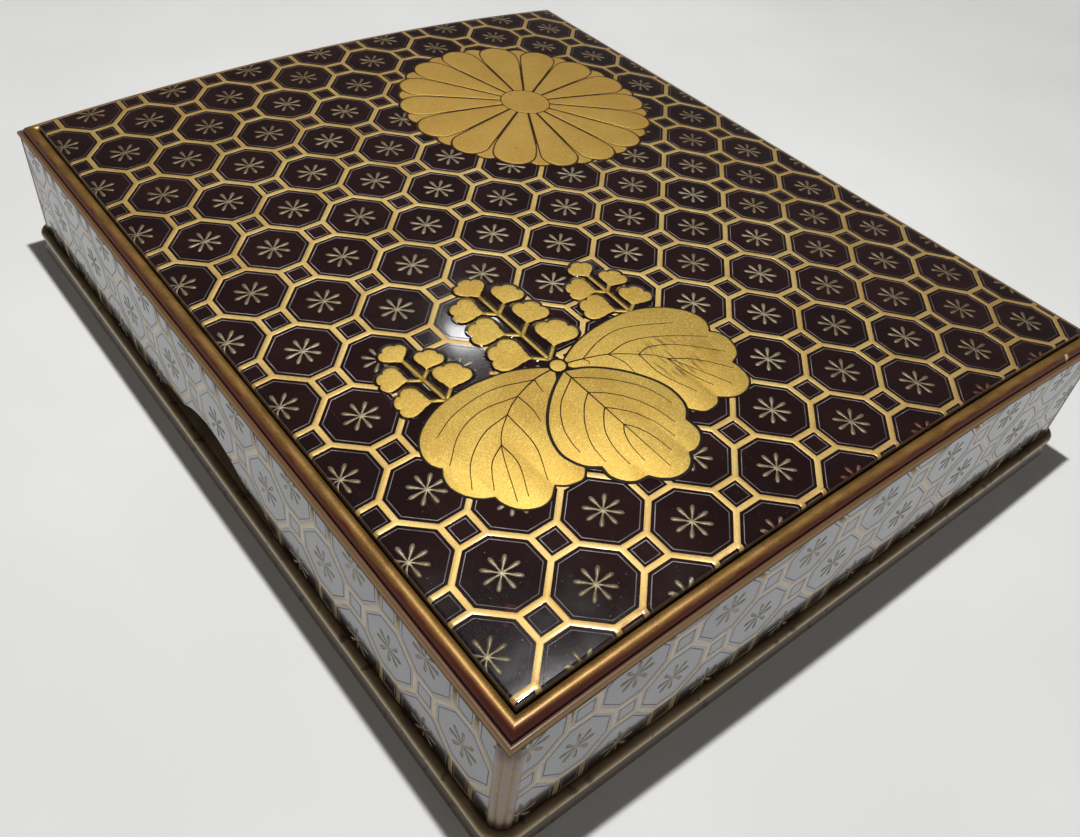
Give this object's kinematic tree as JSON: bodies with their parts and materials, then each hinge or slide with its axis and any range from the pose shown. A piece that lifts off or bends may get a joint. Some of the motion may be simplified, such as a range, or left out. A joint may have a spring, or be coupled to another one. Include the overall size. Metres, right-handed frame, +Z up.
{
  "type": "lidded_document_box",
  "caption": "Lacquered wooden document box with a deep slip-over lid, vaulted top, bead moulding, reeded corner posts and hand-holds",
  "frame": {"origin": "middle of the underside of the box, on the surface it stands on", "axes": "X across the short direction, Y along the long direction, Z up"},
  "size_m": [0.3404, 0.4044, 0.0777],
  "materials": {
    "lacquer": "polished black-brown lacquer with a fine metal pattern",
    "gold_lacquer": "burnished gold powder over red-brown lacquer",
    "inner_lacquer": "plain black lacquer, satin"
  },
  "bodies": {
    "box": {"bottom_board": "inner_lacquer", "box_side_left": "inner_lacquer", "box_side_right": "inner_lacquer", "box_side_front": "inner_lacquer", "box_side_back": "inner_lacquer", "foot_left": "gold_lacquer", "foot_right": "gold_lacquer", "foot_front": "gold_lacquer", "foot_back": "gold_lacquer"},
    "lid": {"lid_top_board": "lacquer", "lid_side_left": "lacquer", "lid_side_right": "lacquer", "lid_side_front": "lacquer", "lid_side_back": "lacquer", "lid_post_front_left": "gold_lacquer", "lid_post_front_right": "gold_lacquer", "lid_post_back_left": "gold_lacquer", "lid_post_back_right": "gold_lacquer", "lid_bead_left": "gold_lacquer", "lid_bead_right": "gold_lacquer", "lid_bead_front": "gold_lacquer", "lid_bead_back": "gold_lacquer"}
  },
  "joints": [
    {"name": "lid_lift", "type": "slide", "parent": "box", "child": "lid", "axis": [0, 0, 1], "range_m": [0, 0.06]}
  ]
}
